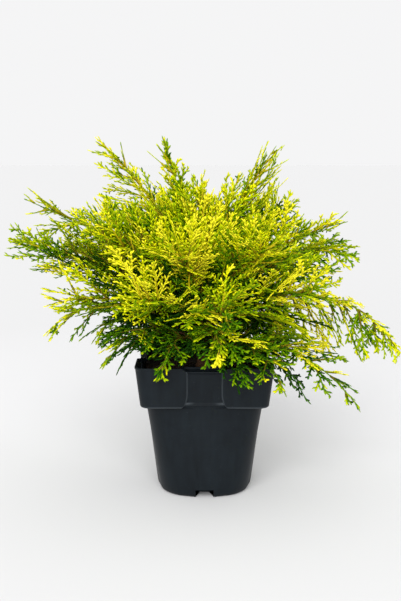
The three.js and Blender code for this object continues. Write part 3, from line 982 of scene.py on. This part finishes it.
def stem_shoot_length(parent_length, distance):
    return np.full(len(distance), 11.0)


def within_crown(threads):
    """Only the threads whose tips stay clear of the pot and inside the crown's outline."""
    tips = along_thread(threads.root, threads.heading, threads.bend, threads.length)
    free = in_open_air(tips, 0.5)
    free &= (tips * outwards[threads.owner]).sum(-1) < reaches[threads.owner] + 2
    return threads.only(free)


# How each tier is clothed: the tone of its sprays and their gain towards the limb's tip, half
# the width of a leaf, how wide the side shoots fan out, and the slot.
clothing = {
    "crest": {"tone": 0.61, "gain": 0.05, "width": 0.9, "fan": 0.76, "slot": "foliage_gold"},
    "shoulder": {"tone": 0.54, "gain": -0.04, "width": 0.88, "fan": 0.84, "slot": "foliage_gold"},
    "spread": {"tone": 0.49, "gain": 0.06, "width": 1.02, "fan": 1.0, "slot": "foliage_lime"},
    "skirt": {"tone": 0.32, "gain": 0.18, "width": 1.12, "fan": 1.05, "slot": "foliage_green"},
}


def by_limb(key):
    return np.array([clothing[limb.tier_name][key] for limb in limbs])


def glow(x, height, wide, tall):
    """Painted light, for each spray's tip: from 1 at a place on the crown's front to 0 around it and
    behind.
    """
    away = ((tips[:, 0] - x) / wide) ** 2 + ((tips[:, 2] - height) / tall) ** 2
    return np.exp(-away) * (tips[:, 1] < 10)


# A spray's tone runs from 0, the darkest green, to 1, the brightest gold, and carries painted light
# and shade too. Sprays that point down are painted darker, those that point up lighter. Low in the
# crown a few are golden and most are green, darker partly as painted shade, and a golden belt runs
# round the front, with a patch on its right, both partly painted light on the front. High up no
# spray is darker than a floor that rises with height, painted light. The heart and the sprays on
# bare boughs are in the shade, painted darker.
low_crown = 240.0
light_from = 200.0
heart_middle = (-10, 0, 188)
heart_reach = (170, 130, 125)
fans = by_limb("fan")
half_widths = by_limb("width")
base_tones = by_limb("tone")
gains = by_limb("gain") + np.array([limb.habit["gold"] for limb in limbs])
tone = base_tones[owners] + gains[owners] * np.maximum(shares, 0) ** 0.9
# Painted light and shade: sprays that point up are lighter, and those that point down darker.
tone = tone + 0.1 * headings[:, 2] + 0.35 * np.minimum(headings[:, 2] + 0.15, 0)
tips = along_thread(roots, headings, bends, lengths * 0.6)
scatter = luck.normal(0, 0.13, len(owners))
# Low in the crown most sprays are darker and a few golden: partly their colour, partly painted shade.
low = np.clip((low_crown - tips[:, 2]) / 25, 0, 1)
tone = tone + mix(np.clip(scatter, -0.18, 0.2), np.where(scatter > 0.12, 0.38, -0.1), low)
# The golden belt and the patch on its right are lighter only on the front: partly gold, partly painted
# light.
lit_golden_belt = glow(x=-6, height=225, wide=52, tall=16)
tone = tone + 0.44 * lit_golden_belt
tone = tone + 0.3 * glow(x=95, height=172, wide=45, tall=22)
from_heart = np.linalg.norm((tips - heart_middle) / heart_reach, axis=1)
tone = tone - 0.4 * np.clip(0.72 - from_heart, 0, 0.4)
# Painted light: higher up, no spray's tone falls below a floor that rises with height.
tone = np.maximum(tone, 0.04 + 0.42 * np.clip((tips[:, 2] - light_from) / 40, 0, 1))
tone = tone - mix(0.5, 1.0, low) * (shares < 0) * (1 - 0.5 * lit_golden_belt)
sunlit = np.array([limb.habit["sunlit"] for limb in limbs])
tone = np.where(sunlit[owners], np.clip(tone + 0.28, 0.32, 0.9), tone)
axes = Threads(
    roots, headings, bends, planes, lengths, half_widths[owners], tone + 0.12, owners
)

# Seven straight leafy threads follow the stem of each limb to its tip.
leaders = []
for owner, limb in enumerate(limbs):
    marks = mix(limb.tier["bough"], 1, np.linspace(0.3, 1, 8))
    for near, far in zip(marks, marks[1:]):
        start, end = limb.at(near), limb.at(far)
        tilt = math.radians(70 * (chance(*limb.keys, 41) - 0.5))
        plane = axes_about(limb.heading(near), tilt)[1]
        way = unit(end - start)
        tone_here = base_tones[owner] + gains[owner] * near
        leaders.append((start, way, plane, np.linalg.norm(end - start), tone_here, owner))
starts, ways, planes, spans, tones, bearers = (
    np.array([leader[part] for leader in leaders]) for part in range(6)
)
straight = np.zeros_like(starts)
stem_axes = Threads(starts, ways, straight, planes, spans, half_widths[bearers], tones, bearers)

shoots = within_crown(
    side_shoots(axes, first=5, pitch=9.5, size=shoot_length, angle=38, thinner=0.97, brighter=0.2)
)
on_stems = within_crown(
    side_shoots(
        stem_axes, first=1.5, pitch=5, size=stem_shoot_length, angle=36, thinner=0.97, brighter=0.0
    )
)
shoots = shoots.with_others(on_stems)
on_axes = side_shoots(
    axes, first=3, pitch=3.7, size=twiglet_length, angle=46, thinner=0.97, brighter=0.2
)
on_shoots = side_shoots(
    shoots, first=3, pitch=3.7, size=twiglet_length, angle=46, thinner=1.0, brighter=0.2
)
twiglets = within_crown(on_axes.with_others(on_shoots))
twiglets.tone -= 0.1
leafy = axes.with_others(stem_axes, shoots, twiglets)

leaf_colours = [
    paint(28, 66, 4), paint(43, 88, 4), paint(66, 114, 2), paint(92, 136, 2), paint(126, 161, 2),
    paint(162, 186, 4), paint(199, 212, 10), paint(230, 229, 12), paint(250, 241, 44),
]
leaf_pitch = 3.5
leaf_overlap = 1.4
leaf_materials = []
for number, colour in enumerate(leaf_colours, 1):
    looks = {"Base_Color": colour, "Roughness": 0.6, "Specular_IOR_Level": 0.06}
    leaf_materials.append(new_material(f"scale_leaves_{number}", **looks)[0])

# Every scale leaf is a closed body of ten faces: a broad three-sided foot, wider shoulders with
# a keel over them, and its tip.
leaf_faces = np.array(
    (
        (0, 2, 1), (0, 1, 4), (0, 4, 3), (1, 2, 5), (1, 5, 4), (2, 0, 3), (2, 3, 5),
        (3, 4, 6), (4, 5, 6), (5, 3, 6),
    )
)


def leaves_on(threads):
    """The corners of the leaves along the threads, which overlap like tiles, and their tones."""
    counts = np.maximum(np.round(threads.length / leaf_pitch).astype(int), 1)
    index, order = numbered(counts)
    pitch = (threads.length / counts)[index]
    place, heading, side, plane = threads.frame_at(index, order * pitch)
    share = (order + 0.5) / counts[index]
    width = (threads.half_width[index] * (1.0 - 0.12 * share**2))[:, None]
    long = (pitch * leaf_overlap)[:, None]
    # Leaves face one side of the spray and the other by turns.
    facing = np.where(order % 2, 1.0, -1.0)[:, None]
    keel = facing * plane * width
    left = side * facing * width
    foot = place - heading * 0.12 * long
    shoulder = place + heading * 0.64 * long
    corners = np.stack(
        (
            foot + left * 0.85 - keel * 0.3,
            foot - left * 0.85 - keel * 0.3,
            foot + keel * 0.45,
            shoulder + left - keel * 0.25,
            shoulder - left - keel * 0.25,
            shoulder + keel * 0.5,
            place + heading * long,
        ),
        axis=1,
    )
    tones = threads.tone[index] + 0.2 * (share - 0.45)
    last = len(leaf_colours) - 1
    return corners, np.clip((tones * len(leaf_colours)).astype(int), 0, last)


# The crest is one piece, and each other tier is two, so that no piece has too many faces.
for name in tiers:
    masses = [owner for owner, limb in enumerate(limbs) if limb.tier_name == name]
    parts = 1 if name == "crest" else 2
    for part, held in enumerate(np.array_split(masses, parts)):
        corners, tones = leaves_on(leafy.only(np.isin(leafy.owner, held)))
        label = f"leaves_of_{name}_{part + 1}"
        piece = array_mesh(label, corners, leaf_faces, tones, leaf_materials)
        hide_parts(*(f"foliage_{limbs[owner].label}" for owner in held))

# ---- The studio -----------------------------------------------------------------------------
# A pale floor, painted a little lighter near its middle against the shade the plant casts round
# itself, under an even white light, a little brighter from behind, with a broad soft key light
# over the viewer's left shoulder.
bm = bmesh.new()
bmesh.ops.create_circle(bm, cap_ends=True, segments=96, radius=30)
mesh = bpy.data.meshes.new("studio_floor")
bm.to_mesh(mesh)
bm.free()
paper, shader, place = new_material("pale_paper", Roughness=1.0, Specular_IOR_Level=0.0)
away = place.node("VectorMath", {"operation": "LENGTH"}, {0: place}, "Value")
# Painted light: the floor's colour is lighter near the middle, where the plant's shade falls, and
# darker far away.
feed(shader, Base_Color=away.between(0.2, 0.9).blend((0.715, 0.715, 0.72, 1), (0.65, 0.65, 0.65, 1)))
mesh.materials.append(paper)
floor = bpy.data.objects.new("studio_floor", mesh)
bpy.context.scene.collection.objects.link(floor)

world = bpy.data.worlds.new("studio_light")
world.use_nodes = True
bpy.context.scene.world = world
direction = Value(world.node_tree).node("TexCoord", output="Generated")
backward = direction.node("SeparateXYZ", None, {0: direction}, "Y") * 0.5 + 0.5
stops = [
    (0.0, (0.84, 0.84, 0.85, 1)),
    (0.4, (0.88, 0.88, 0.89, 1)),
    (0.65, (0.93, 0.93, 0.93, 1)),
    (0.9, (0.913, 0.913, 0.918, 1)),
]
sky = backward.node("ValToRGB", {"stops": stops}, {0: backward}, 0)
world.node_tree.links.new(sky.socket, world.node_tree.nodes["Background"].inputs["Color"])

key = bpy.data.lights.new("key_light", "SUN")
key.energy = 3.1
key.angle = math.radians(50)
lamp = bpy.data.objects.new("key_light", key)
lamp.rotation_euler = (math.radians(60), math.radians(-14), 0)
bpy.context.scene.collection.objects.link(lamp)

camera = bpy.data.cameras.new("camera")
camera.lens = 53.89
camera.sensor_width = 36
viewer = bpy.data.objects.new("camera", camera)
viewer.location = (-0.00388, -0.8675, 0.3245)
viewer.rotation_euler = (math.radians(90 - 9.15), 0, 0)
bpy.context.scene.collection.objects.link(viewer)
bpy.context.scene.camera = viewer
bpy.context.scene.view_settings.view_transform = "Standard"
